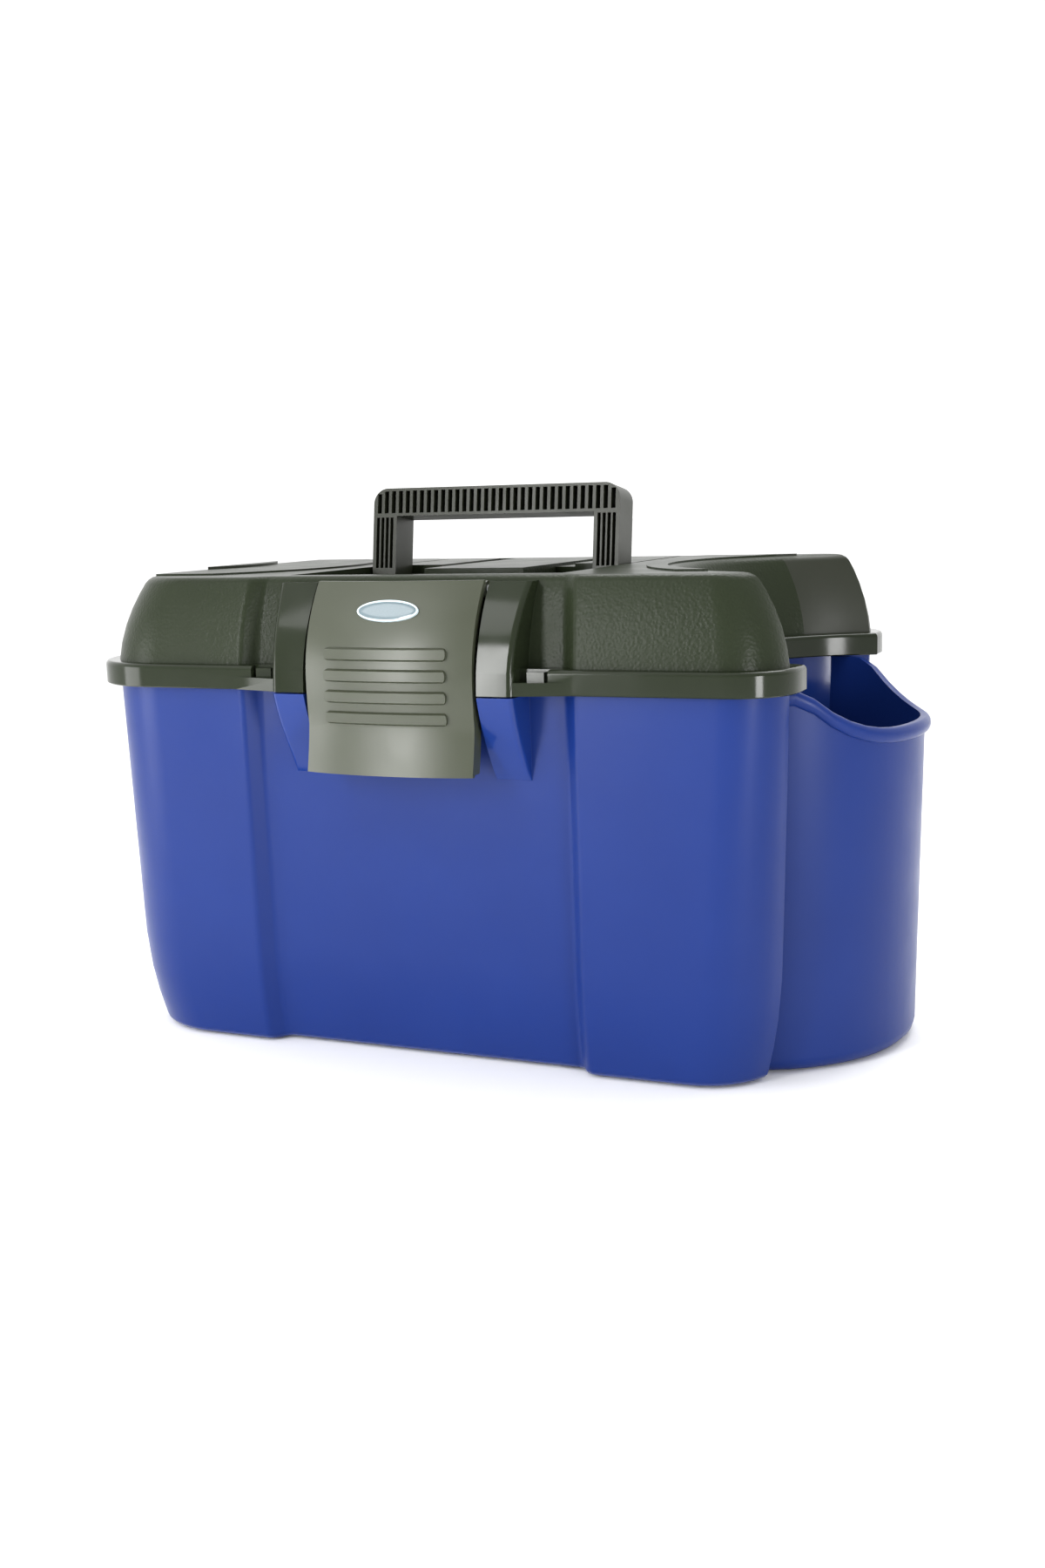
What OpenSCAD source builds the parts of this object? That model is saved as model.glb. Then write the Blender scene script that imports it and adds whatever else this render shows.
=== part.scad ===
/* [Tub] */
// Length of the tub between its two end faces, at the top edge
tub_l = 387.8; // [350:0.2:420]
// Depth of the tub over its corner lobes, at the top edge
tub_d = 252.4; // [230:0.2:280]
// Height of the tub's top edge above the surface it stands on
tub_h = 208; // [190:1:230]
// Thickness of every moulded wall
wall = 2.6; // [2:0.1:3.2]
// Thickness of the tub's floor
floor_t = 3; // [2:0.1:5]
// How far the sides lean in from the top edge to the bottom
tub_taper = 4.4; // [2:0.1:7]
// How much further the sides curve in towards the bottom
bottom_tuck = 6.3; // [2:0.1:9]
// Height over which the sides curve in
tuck_h = 60; // [40:1:90]
// Radius of the bottom edge
bottom_round = 4.5; // [2:0.1:8]
// Radius of the two corners at the plain end, in plan
corner_r = 46; // [38:1:50]
// Radius of the two corners beside the bay, at the top edge
bay_corner_r = 28; // [22:1:32]
// How far the long sides bow out at their middle
bow = 2.2; // [0.5:0.1:4]
// How far the middle panel lies behind the corner lobes
lobe_step = 8.5; // [4:0.1:11]
// Half the width of the middle panel
step_x = 94; // [89:1:105]
// Width of the slanted face between panel and lobe
step_run = 6; // [2:0.1:10]

/* [End bay] */
// Radius of the round bay in the right end of the tub
bay_r = 102.5; // [98:0.5:105]
// Distance of the bay's centre beyond the tub's end face
bay_out = 32.1; // [29:0.1:36]

/* [Side pocket] */
// Outer radius of the pocket's wall just under its rim
pocket_r = 94.5; // [91:0.5:98]
// Distance of the pocket's centre inside the tub's end face
pocket_in = 46.4; // [42:0.1:50]
// Height of the rim at its outermost point
pocket_low = 174; // [150:1:185]
// Radius of the scoop that the rim follows
scoop_r = 36; // [30:1:55]
// Level length at the outer end of the scoop
scoop_flat = 4; // [0:0.5:12]
// How far the rim's bead stands out from the wall
bead = 3; // [1.5:0.1:4]
// Height of the bead
bead_h = 8; // [6:0.1:11]
// Radius of the pocket's bottom edge
pocket_foot = 8; // [5:0.1:11]

/* [Lid] */
// Clearance between the lid's ledge and the tub's top edge
lid_gap = 0.3; // [0.2:0.05:0.6]
// Height of the lid's top above its ledge
lid_rise = 45.1; // [42:0.1:55]
// Thickness of the lid's top
lid_top_t = 3.6; // [3:0.1:5]
// How far the rim stands out beyond the lid's wall
rim_over = 6.2; // [6:0.1:8]
// How far the rim stands out over the bay
rim_bay = 9.5; // [8:0.1:10]
// How far the rim hangs below the ledge
rim_drop = 10; // [8:0.1:12]
// How far the plain end's wall leans in up to the top
lid_in_left = 19; // [12:0.5:22]
// How far the bay end's wall leans in up to the top
lid_in_right = 13.5; // [10:0.5:16]
// How far the long walls lean in up to the top
lid_in_side = 11; // [7:0.5:13]
// How far the bay's wall leans in up to the top
lid_in_bay = 11; // [8:0.5:13]
// Radius of the lid's top edge
top_round = 3.6; // [2:0.1:5]
// Height of the raised border along the bay, and of the first step at the plain end
border_h = 1; // [0.5:0.1:2]
// Width of that border
border_w = 11; // [6:0.5:14]
// Radius of the first raised step on the lid's plain end
step_r = 132; // [120:1:135]
// Radius of the second raised step
step_in_r = 70; // [66:1:90]
// Height of the second step above the first
step_h = 1.5; // [0.5:0.1:2]

/* [Lid hinge] */
// Distance of each hinge from the middle of the box
hinge_x = 58; // [45:1:66]
// Diameter of the steel hinge pins
hinge_pin_d = 4; // [3:0.1:5]
// Radius of the hinge knuckles
knuckle_r = 4.4; // [4:0.1:6]
// Width of the lid's knuckle
lid_knuckle_w = 16; // [10:0.5:20]
// Width of each of the two tub knuckles
tub_knuckle_w = 9; // [6:0.5:12]
// Clearance between the knuckles, and between knuckle and rim
knuckle_gap = 0.7; // [0.4:0.1:1.2]
// Height of the hinge axis below the lid's ledge
hinge_below = 3.7; // [2:0.1:5]

/* [Latch] */
// Width of the latch
latch_w = 93; // [80:1:100]
// Clearance between the latch and the pillars beside it
latch_gap = 2; // [1:0.1:3]
// Thickness of the latch's plate
latch_t = 2.6; // [2:0.1:3.2]
// How far the latch's face stands in front of the rim
latch_proud = 6.9; // [6:0.1:8]
// Length of the latch below the lid's top
latch_drop = 98; // [90:1:106]
// Length of the flared finger lip at its lower end
lip_h = 24; // [16:1:30]
// How far the finger lip flares out
lip_out = 3.9; // [2:0.1:6]
// Diameter of the latch's pivot pin
latch_pin_d = 4; // [3:0.1:5]
// Radius of the latch's pivot barrel
latch_barrel_r = 4.2; // [4:0.1:4.4]
// Distance of the latch's axis behind its face at the top
latch_axis_in = 5.3; // [5:0.1:5.5]
// Distance of the latch's axis below its top edge
latch_axis_down = 4.7; // [4.6:0.1:5]
// How far the latch's face is crowned at its middle
latch_crown = 5.5; // [4:0.1:7]
// Width of each pillar and guard beside the latch
pillar_w = 19; // [14:0.5:24]
// How far the pillars stand out beyond the rim
pillar_out = 7; // [6:0.1:8]
// How far the pillars lean in up to their tops
pillar_lean = 21.2; // [20:0.1:22]
// Height of the guards on the tub, below the rim
guard_h = 44; // [34:1:50]
// How far the guards stand out at their lower ends
guard_end = 4.5; // [2:0.1:6]
// Number of raised bars on the latch
bar_n = 4; // [2:1:5]
// Length of the raised bars
bar_l = 68; // [50:1:76]
// Spacing of the raised bars
bar_pitch = 10.7; // [9:0.1:11.5]
// Height of each raised bar
bar_h = 6.8; // [4:0.1:8.2]
// Length of the oval badge
badge_l = 34; // [24:1:44]
// Height of the oval badge
badge_h = 11.7; // [8:0.1:14]
// Thickness of the badge
badge_t = 1.6; // [1.2:0.1:2.2]
// Depth of the badge's seat in the latch
badge_seat = 0.8; // [0.5:0.1:1]
// Clearance round the badge in its seat
badge_gap = 0.15; // [0.1:0.05:0.3]

/* [Handle] */
// Width of the handle over its legs
handle_w = 152; // [130:1:160]
// Width of each leg
leg_w = 15; // [11:0.5:18]
// Depth of the grip and the legs
grip_d = 22; // [18:0.5:24]
// Height of the grip
grip_h = 16; // [12:0.5:20]
// Height of the grip's top above the pivot
handle_h = 55; // [50:1:62]
// How far the raised handle leans back
handle_lean = 8; // [5:0.5:9]
// Radius of the grip's outer corners
handle_round = 9; // [4:0.5:12]
// Number of slots along the grip
slot_n = 33; // [15:1:39]
// Number of slots up each leg
leg_slot_n = 4; // [2:1:5]
// Depth of the slots from each face
slot_depth = 8.5; // [5:0.1:9]
// Thickness of the flanges round the slots
flange_t = 1.6; // [1:0.1:2.2]
// Diameter of the handle's pivot pins
handle_pin_d = 5; // [4:0.1:6]
// Clearance between the handle and its well in the lid
well_gap = 2.5; // [1.5:0.1:4]
// Clearance under the folded handle
well_under = 0.4; // [0.3:0.1:1]
// Room in front of the folded grip
well_front = 9; // [6:0.5:14]
// Length of the finger ramp in front of the well
ramp_l = 36; // [20:1:42]
// Depth of the finger ramp at the well
ramp_depth = 9; // [5:0.5:14]
// Half the width of the island inside the handle's opening
island_x = 30; // [20:1:40]
// Width of the two grooves that run back from the well
groove_w = 12; // [6:0.5:14]
// Depth of the grooves in the lid's top
groove_depth = 1.8; // [0.8:0.1:2.2]

/* [Tray] */
// Clearance between the tray and the walls of the tub
tray_gap = 5; // [3:0.5:8]
// Depth of the tray's top edge below the tub's
tray_below = 8; // [6:1:30]
// Height of the tray's wall
tray_h = 50; // [30:1:52]
// Thickness of the tray's walls
tray_wall = 2.2; // [1.6:0.1:3]
// Radius of the tray's corners beside the bay
tray_r = 26; // [14:1:34]
// Height of the carrying rib above the tray's wall
tray_rib_up = 8; // [0:1:10]
// Thickness of the carrying rib
tray_rib_t = 8; // [6:1:14]
// Length of the finger hole in the carrying rib
tray_hole_l = 90; // [60:1:110]
// Width of the shelves that carry the tray
shelf_w = 40; // [20:1:60]

/* [Clearances] */
// Diametral clearance of a pin that turns in its bore
run_fit = 0.1; // [0.04:0.02:0.16]
// Least clearance between parts that pass each other
part_gap = 0.8; // [0.5:0.1:1.2]

/* [Hidden] */
$fn = 64;
eps = 0.01;
blue = [0.22, 0.31, 0.66];
olive = [0.30, 0.32, 0.27];
steel = [0.75, 0.76, 0.78];
badge_grey = [0.64, 0.72, 0.75];

// Plan of the tub
half_l = tub_l / 2;
half_d = tub_d / 2;
panel_d = half_d - lobe_step;
bay_x = half_l + bay_out;
corner_n = 8;
side_n = 6;
bay_n = corner_n + side_n - 1;
step_round = 2.5;
bow_share = bow / half_d;

// Heights
ledge_under = tub_h + lid_gap;
ledge_z = ledge_under + wall;
rim_z = ledge_under - rim_drop;
lid_z = ledge_z + lid_rise;
rim_edge = 1.2;
rim_round = 2.4;

// Front of the rim at the middle of the box
rim_front = (half_d + rim_over) * (1 + bow_share);

// Point where the round bay meets the corner arc, in the quarter with x and y positive
function lobe_tip(radius, cx, cy, r) =
    let (dx = cx - bay_x, d = norm([dx, cy]),
         along = (radius * radius - r * r + d * d) / (2 * d),
         off = sqrt(radius * radius - along * along),
         ux = dx / d, uy = cy / d)
    [bay_x + ux * along + uy * off, uy * along - ux * off];

// The side of the plan, from the corner to the middle of the box
function side_points(b, c, s) =
    let (d = b - c)
    [[s + step_round, b], [s - 0.2 * step_run, b - 0.2 * d], [s - 0.8 * step_run, c + 0.2 * d],
     [s - step_run - step_round, c], [s / 2, c], [0, c]];

// A quarter of the plan at the bay: along the bay to the lobe's tip, round the corner, along the side
function bay_quarter(a, b, c, r, radius, s) =
    let (cx = a - r, cy = b - r, face_y = sqrt(radius * radius - pow(bay_x - a, 2)),
         flat = max(0, cy - face_y),
         tip = flat > 0 ? [a, face_y] : lobe_tip(radius, cx, cy, r),
         bay_end = atan2(tip[1], bay_x - tip[0]),
         start = flat > 0 ? 0 : atan2(tip[1] - cy, tip[0] - cx),
         length = flat + r * (90 - start) * PI / 180)
    concat([for (i = [0 : bay_n]) let (q = bay_end * i / bay_n)
                [bay_x - radius * cos(q), radius * sin(q)]],
           [for (i = [1 : corner_n])
                let (run = length * i / corner_n, q = start + max(0, run - flat) / r * 180 / PI)
                run < flat ? [a, tip[1] + run] : [cx + r * cos(q), cy + r * sin(q)]],
           side_points(b, c, s));

// A quarter of the plan at the plain end
function plain_quarter(a, b, c, r, s) =
    let (cx = a - r, cy = b - r, turns = bay_n + corner_n - 3)
    concat([for (i = [0 : 3]) [a, cy * i / 3]],
           [for (i = [1 : turns]) let (q = 90 * i / turns) [cx + r * cos(q), cy + r * sin(q)]],
           side_points(b, c, s));

quarter_n = bay_n + corner_n + side_n;

// The whole plan at one height, counter-clockwise from the bay on the right
function ring(bay_side, plain_side, z) =
    let (m = quarter_n)
    [for (i = [0 : 4 * m - 1])
        let (k = i <= m ? i : i <= 2 * m ? 2 * m - i : i <= 3 * m ? i - 2 * m : 4 * m - i,
             left = i > m && i <= 3 * m, q = left ? plain_side[k] : bay_side[k],
             out = 1 + bow_share * (1 - pow(q[0] / half_l, 2)))
        [left ? -q[0] : q[0], (i > 2 * m ? -1 : 1) * q[1] * out, z]];

// Faces that close such a plan: strips between bay and side, fans at the lobe, and a middle piece
function strip(i, j, count) =
    [for (k = [0 : count - 1], f = [[i + k, i + k + 1, j - k - 1], [i + k, j - k - 1, j - k]]) f];
lobe_fan = 2;
quarter_cap = let (m = quarter_n, i = side_n + lobe_fan, j = m - side_n)
    concat(strip(0, m, side_n - 1),
           [for (k = [1 : lobe_fan]) [side_n - 2 + k, side_n - 1 + k, j + 1]],
           strip(i - 1, j + 1, 1),
           [for (k = [0 : lobe_fan - 1]) [i, j - 1 - k, j - k]],
           strip(i, j - lobe_fan, bay_n - i));
plan_cap = let (m = quarter_n, n = 4 * m)
    concat([for (f = quarter_cap, side = [0 : 3])
                let (t = [for (k = f) side == 0 ? k : side == 1 ? 2 * m - k
                              : side == 2 ? 2 * m + k : (n - k) % n])
                side % 2 == 0 ? t : [t[2], t[1], t[0]]],
           [[0, m, 2 * m], [0, 2 * m, 3 * m]]);

// Faces that close a convex section
function fan_cap(count) = [for (i = [1 : count - 2]) [0, i, i + 1]];

// Faces that close a thin section whose points run out along one side and back along the other
function strip_cap(count) =
    [for (i = [0 : count / 2 - 2], f = [[i, i + 1, count - 2 - i], [i, count - 2 - i, count - 1 - i]]) f];

// A solid skinned over a row of rings with equal numbers of points
module loft(rings, cap) {
    n = len(rings[0]);
    last = (len(rings) - 1) * n;
    polyhedron(
        points = [for (r = rings, p = r) p],
        faces = concat(
            [for (k = [0 : len(rings) - 2], i = [0 : n - 1])
                let (j = (i + 1) % n) [k * n + i, (k + 1) * n + i, (k + 1) * n + j]],
            [for (k = [0 : len(rings) - 2], i = [0 : n - 1])
                let (j = (i + 1) % n) [k * n + i, (k + 1) * n + j, k * n + j]],
            cap,
            [for (f = cap) [for (k = [len(f) - 1 : -1 : 0]) f[k] + last]]));
}

// A tube skinned over rings that run up its outside and down its inside, back to the first
module closed_loft(rings) {
    n = len(rings[0]);
    count = len(rings);
    polyhedron(
        points = [for (r = rings, p = r) p],
        faces = [for (k = [0 : count - 1], i = [0 : n - 1])
            let (j = (i + 1) % n, next = (k + 1) % count)
            each [[k * n + i, next * n + i, next * n + j], [k * n + i, next * n + j, k * n + j]]]);
}

// Extrudes a profile drawn in depth and height along the box
module along_x(width) {
    rotate([90, 0, 90]) linear_extrude(width, center = true) children();
}

// A round bar along the box
module bar_x(d, length) {
    rotate([0, 90, 0]) cylinder(d = d, h = length, center = true);
}

module both_sides() {
    children();
    mirror([1, 0, 0]) children();
}

// A rectangle with round corners
module rounded(x, y, r) {
    square([x - 2 * r, y], center = true);
    square([x, y - 2 * r], center = true);
    for (sx = [-1, 1], sy = [-1, 1])
        translate([sx * (x / 2 - r), sy * (y / 2 - r)]) circle(r);
}

// Tub

// How much the corners beside the bay grow down to the bottom
corner_grow = 10;
// How far the tub's sides lie in at a height
function tub_in(z) = tub_taper * (1 - z / tub_h) + bottom_tuck * pow(max(0, 1 - z / tuck_h), 2);
function tub_ring(z, inset = 0, edge = 0) =
    let (in = tub_in(z) + inset + edge, a = half_l - in, b = half_d - in, c = panel_d - in,
         s = step_x + 0.7 * inset, less = inset + edge)
    ring(bay_quarter(a, b, c, bay_corner_r + corner_grow * (1 - z / tub_h) - less, bay_r + inset, s),
         plain_quarter(a, b, c, corner_r - less, s), z);
// Depth of the middle panel's face at a height, at the middle of the box
function panel_face(z) = (panel_d - tub_in(z)) * (1 + bow_share);

// Outline of the outside at a height, drawn in where the bottom edge is round
function tub_skin(z) =
    tub_ring(z, 0, z < bottom_round ? bottom_round * (1 - sin(acos(1 - z / bottom_round))) : 0);

tub_levels = [0.09, 0.16, 0.26, 0.43, 0.72];
tub_heights = concat(
    [for (q = [0, 45, 90]) bottom_round * (1 - cos(q))],
    [for (u = tub_levels) u * tub_h],
    [tub_h]);
tub_outside = [for (z = tub_heights) tub_skin(z)];
// The outside is parted at the top of the floor
floor_outside = concat([for (z = tub_heights) if (z < floor_t - eps) tub_skin(z)], [tub_skin(floor_t)]);
wall_outside = concat([tub_skin(floor_t)], [for (z = tub_heights) if (z > floor_t + eps) tub_skin(z)]);
tub_inside = concat(
    [tub_ring(tub_h, wall)],
    [for (i = [len(tub_levels) - 1 : -1 : 0]) tub_ring(tub_levels[i] * tub_h, wall)],
    [tub_ring(floor_t + bottom_round / 2, wall), tub_ring(floor_t, wall, bottom_round / 2)]);

// The tub without its hollow, carried a little past both ends, to cut its neighbours
module tub_block() {
    spare = 5;
    low = tub_outside[0];
    high = tub_outside[len(tub_outside) - 1];
    loft(concat([[for (p = low) [p[0], p[1], -spare]]], tub_outside,
                [[for (p = high) [p[0], p[1], tub_h + spare]]]), plan_cap);
}

// Guards beside the latch, which run out into the panel
guard_x = latch_w / 2 + latch_gap;
guard_top = rim_z - part_gap;
edge_turns = [90, 60, 30, 0];
// Section of a guard or pillar with its outer edge rounded, at one height
function upright(outer, front, back, z) =
    let (r = min(3, 0.4 * (front - back)))
    concat([[guard_x, -front, z]],
           [for (q = edge_turns) [outer - r + r * cos(q), -(front - r + r * sin(q)), z]],
           [[outer, -back, z], [guard_x, -back, z]]);
upright_n = len(edge_turns) + 3;
module guard() {
    levels = 8;
    bottom = guard_top - guard_h;
    foot = 1.2 * guard_end;
    outer = guard_x + pillar_w;
    top_out = rim_front + pillar_out - panel_face(guard_top);
    loft(concat(
        [upright(outer, panel_face(bottom) + wall / 8, panel_face(bottom) - wall / 2, bottom)],
        [for (i = [0 : levels])
            let (u = i / levels, z = bottom + foot + u * (guard_h - foot),
                 front = panel_face(z) + guard_end + (top_out - guard_end) * (u + sin(90 * u)) / 2)
            upright(outer, front, panel_face(z) - wall / 2, z)]), fan_cap(upright_n));
}

// Catch that the latch closes over
catch_w = 52;
catch_h = 5;
catch_z = rim_z - 9;
catch_out = 11.5;
module catch() {
    face = panel_face(catch_z);
    along_x(catch_w) polygon([[-face + wall / 2, catch_z + catch_h], [-face - catch_out, catch_z + catch_h],
        [-face - catch_out, catch_z + catch_h / 2], [-face + wall / 2, catch_z - catch_out / 2]]);
}

// Axis of the lid's hinge
hinge_y = rim_front + knuckle_gap + knuckle_r;
hinge_z = ledge_under - hinge_below;
knuckle_pitch = (lid_knuckle_w + tub_knuckle_w) / 2 + knuckle_gap;
hinge_pin_l = lid_knuckle_w + 2 * tub_knuckle_w + 2 * knuckle_gap;
arm_h = 25;
module tub_knuckles() {
    root = panel_face(rim_z) - wall / 2;
    for (side = [-1, 1]) translate([hinge_x + side * knuckle_pitch, 0, 0]) {
        translate([0, hinge_y, hinge_z]) bar_x(2 * knuckle_r, tub_knuckle_w);
        along_x(tub_knuckle_w) polygon([[root, rim_z - part_gap - arm_h], [root, rim_z - part_gap],
            [hinge_y - knuckle_r, rim_z - part_gap], [hinge_y - knuckle_r, hinge_z],
            [hinge_y + knuckle_r, hinge_z], [hinge_y + knuckle_r, rim_z - part_gap],
            [root + wall, rim_z - part_gap - arm_h]]);
    }
}

// Shelves that carry the tray
tray_z = tub_h - tray_below - tray_h;
tray_half_d = panel_d - tub_in(tray_z) - wall - tray_gap + bow / 2;
shelf_h = 8;
shelf_x = 60;
module shelf() {
    root = panel_face(tray_z) - wall / 2;
    tip = tray_half_d - 6;
    top = tray_z - lid_gap;
    translate([shelf_x, 0, 0]) along_x(shelf_w)
        polygon([[tip, top], [root, top], [root, top - 2 * shelf_h], [tip, top - shelf_h / 2]]);
}

module hinge_bores() {
    for (side = [-1, 1]) translate([side * hinge_x, hinge_y, hinge_z])
        bar_x(hinge_pin_d, hinge_pin_l + 2);
}

module tub() {
    color(blue) difference() {
        union() {
            closed_loft(concat(wall_outside, tub_inside));
            both_sides() guard();
            catch();
            both_sides() tub_knuckles();
            both_sides() shelf();
            both_sides() mirror([0, 1, 0]) shelf();
        }
        hinge_bores();
    }
}

// The floor, which the walls stand on
module tub_floor() {
    color(blue) loft(floor_outside, plan_cap);
}

// Side pocket

pocket_x = half_l - pocket_in;
pocket_taper = tub_taper / tub_h;
pocket_span = 80;
pocket_n = 26;
// Outer radius of the pocket's wall at a height
function pocket_at(z) = pocket_r - pocket_taper * (tub_h - z);
// Height of the rim at an angle round the pocket
function pocket_rim(q) =
    let (run = max(0, pocket_r * (1 - cos(q)) - scoop_flat))
    min(rim_z - part_gap, pocket_low + run * run / (2 * scoop_r));
// The wall's section at an angle: up the outside over the bead, and down the inside
function pocket_section(q) =
    let (top = pocket_rim(q), r = pocket_at(top), foot = pocket_at(pocket_foot),
         wide = foot - pocket_foot,
         pairs = concat(
            [[[wide - wall, 0], [wide - wall, floor_t]]],
            [for (f = [0, 30, 60, 90])
                [[wide + pocket_foot * sin(f), pocket_foot * (1 - cos(f))],
                 [wide + (pocket_foot - wall) * sin(f), floor_t + (pocket_foot - wall) * (1 - cos(f))]]],
            [[[pocket_at(top - bead_h), top - bead_h], [r - wall, top - bead_h]]],
            [for (f = [20, 50, 80, 110, 140, 165])
                [[r + bead * sin(f), top - bead_h / 2 * (1 + cos(f))],
                 [r - wall, top - bead_h / 2 * (1 + cos(f))]]],
            [[[r, top], [r - wall / 2, top]]]),
         last = len(pairs) - 1,
         flat = concat([for (i = [0 : last]) pairs[i][0]], [for (i = [last : -1 : 0]) pairs[i][1]]))
    [for (p = flat) [pocket_x + p[0] * cos(q), p[0] * sin(q), p[1]]];

module pocket() {
    color(blue) pocket_shell();
}
module pocket_shell() {
    sections = [for (i = [0 : pocket_n]) pocket_section(pocket_span * (1 - 2 * i / pocket_n))];
    difference() {
        union() {
            loft(sections, strip_cap(len(sections[0])));
            translate([pocket_x, 0, 0])
                cylinder(r = pocket_at(pocket_foot) - pocket_foot - wall / 2, h = floor_t);
        }
        tub_block();
    }
}

// Lid

// Share of a wall's lean that is reached at a height
function lean(z) = let (u = max(0, (z - ledge_z) / lid_rise)) 0.3 * u + 0.7 * u * u;
function lid_ring(z, inset = 0, edge = 0) =
    let (u = lean(z), in = inset + edge, b = half_d - lid_in_side * u - in,
         c = panel_d - 0.8 * lid_in_side * u - in, s = step_x + 0.7 * inset - 0.2 * lid_in_side * u)
    ring(bay_quarter(half_l - lid_in_right * u - in, b, c, bay_corner_r - 0.45 * lid_in_right * u - in,
                     bay_r + lid_in_bay * u + in, s),
         plain_quarter(half_l - lid_in_left * u - in, b, c, corner_r - 0.35 * lid_in_left * u - in, s), z);
function rim_ring(z, inset = 0) =
    let (a = half_l + rim_over - inset, b = half_d + rim_over - inset)
    ring(bay_quarter(a, b, b, bay_corner_r + 2 - inset, bay_r - rim_bay + inset, step_x),
         plain_quarter(a, b, b, corner_r + 2 - inset, step_x), z);
// Depth of the lid's middle wall at a height, at the middle of the box
function lid_face(z) = (panel_d - 0.8 * lid_in_side * lean(z)) * (1 + bow_share);

lid_levels = [0.2, 0.42, 0.62, 0.8];
lid_skin = concat(
    [lid_ring(lid_z - lid_top_t, wall, top_round)],
    [for (i = [len(lid_levels) - 1 : -1 : 0]) lid_ring(ledge_z + lid_levels[i] * lid_rise, wall)],
    [lid_ring(ledge_under, wall), rim_ring(ledge_under, wall), rim_ring(rim_z, wall),
     rim_ring(rim_z, rim_edge / 2), rim_ring(rim_z + rim_edge / 2), rim_ring(ledge_z - rim_round)],
    [for (q = [30, 60, 90]) rim_ring(ledge_z - rim_round * (1 - sin(q)), rim_round * (1 - cos(q)))],
    [lid_ring(ledge_z)],
    [for (u = lid_levels) lid_ring(ledge_z + u * lid_rise)],
    [for (q = [0, 30, 60, 90])
        lid_ring(lid_z - top_round * (1 - sin(q)), 0, top_round * (1 - cos(q)))]);

// Front of the latch at a height
latch_top = lid_z - 2;
latch_low = lid_z - latch_drop;
latch_swell_z = ledge_under - 3;
latch_crease_z = latch_low + lip_h;
latch_face_y = rim_front + latch_proud;
latch_top_in = 18.2;
latch_low_in = 1.3;
function latch_front(z) =
    z >= latch_swell_z
        ? latch_face_y - latch_top_in * pow((z - latch_swell_z) / (latch_top - latch_swell_z), 2)
        : z >= latch_crease_z
        ? latch_face_y - latch_low_in * pow((latch_swell_z - z) / (latch_swell_z - latch_crease_z), 2)
        : latch_face_y - latch_low_in + lip_out * pow((latch_crease_z - z) / lip_h, 1.3);

// Axis of the latch
latch_axis_z = latch_top - latch_axis_down;
latch_axis_y = -(latch_front(latch_top) - latch_axis_in);

// Pillars beside the latch, which carry its pin
pillar_spread = 3.8;
module pillar() {
    top = latch_top;
    low_back = rim_front - wall / 2;
    levels = concat([[rim_z, low_back], [ledge_under + wall / 3, low_back]],
                    [for (i = [0 : 6]) let (z = ledge_under + 2 * wall / 3 + i / 6 * (top - ledge_z))
                        [z, lid_face(z) - wall / 2]]);
    loft([for (v = levels)
        let (z = v[0], front = rim_front + pillar_out - pillar_lean * pow((z - rim_z) / (top - rim_z), 2),
             outer = guard_x + pillar_w + pillar_spread * lean(z))
        upright(outer, front, v[1], z)], fan_cap(upright_n));
}

// Foot that runs from each pillar out into the rim
foot_l = 26;
slot_x = guard_x + pillar_w;
slot_z = ledge_z - 6;
module pillar_foot() {
    root = rim_front - wall / 2;
    face = rim_front + pillar_out - 1.5;
    translate([0, 0, rim_z]) linear_extrude(slot_z - rim_z)
        polygon([[slot_x - 4, -root], [slot_x - 4, -face], [slot_x - 1, -face + 0.3],
            [slot_x + foot_l, -rim_front + 1], [slot_x + foot_l, -root]]);
}

// Blind slot in the rim beside each pillar, with a lug in it
rim_slot_l = 16;
rim_slot_in = 5;
lug_l = 9;
lug_x = 4.6;
module slot_back() {
    translate([slot_x - 1, -rim_front + wall / 2, slot_z - wall])
        cube([rim_slot_l + 1 + wall, rim_slot_in + wall / 2, ledge_z - wall / 2 - slot_z + wall]);
}
module rim_slot() {
    translate([slot_x, -rim_front - 1, slot_z]) cube([rim_slot_l, rim_slot_in + 1, ledge_z - slot_z + 1]);
}
module rim_lug() {
    translate([slot_x + lug_x, -rim_front + 1.5, slot_z - wall / 2])
        cube([lug_l, rim_slot_in, ledge_z - slot_z]);
}

// Pivot and well of the handle
pivot_y = 2;
pivot_z = lid_z - grip_d / 2;
well_x = handle_w / 2 + well_gap;
well_floor = pivot_z - grip_d / 2 - well_under;
well_y0 = pivot_y - handle_h - well_front;
lean_reach = grip_d / 2 * (cos(handle_lean) + sin(handle_lean));
well_y1 = pivot_y + lean_reach + part_gap;
island_y0 = pivot_y - handle_h + grip_h + 4;
boss_r = 7;
boss_l = 10;
pin_in = leg_w - 1;

module well() {
    translate([-well_x, well_y0, well_floor]) cube([2 * well_x, well_y1 - well_y0, lid_z]);
}
module well_pan() {
    translate([-well_x - wall, well_y0 - wall, well_floor - wall])
        cube([2 * (well_x + wall), well_y1 - well_y0 + 2 * wall, lid_z - lid_top_t / 2 - well_floor + wall]);
}
module island(inset) {
    translate([-island_x + inset, island_y0 + inset, well_floor - wall - (inset > 0 ? eps : 0)])
        cube([2 * (island_x - inset), well_y1 - island_y0 + (inset > 0 ? -2 * inset : eps),
              lid_z - well_floor + wall - (inset > 0 ? lid_top_t : 0)]);
}
module ramp() {
    low = lid_z - ramp_depth;
    spare = 3;
    along_x(2 * well_x) polygon([[well_y0 - ramp_l, lid_z], [well_y0 + eps, low],
        [well_y0 + eps, lid_z + spare], [well_y0 - ramp_l, lid_z + spare]]);
}
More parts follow.
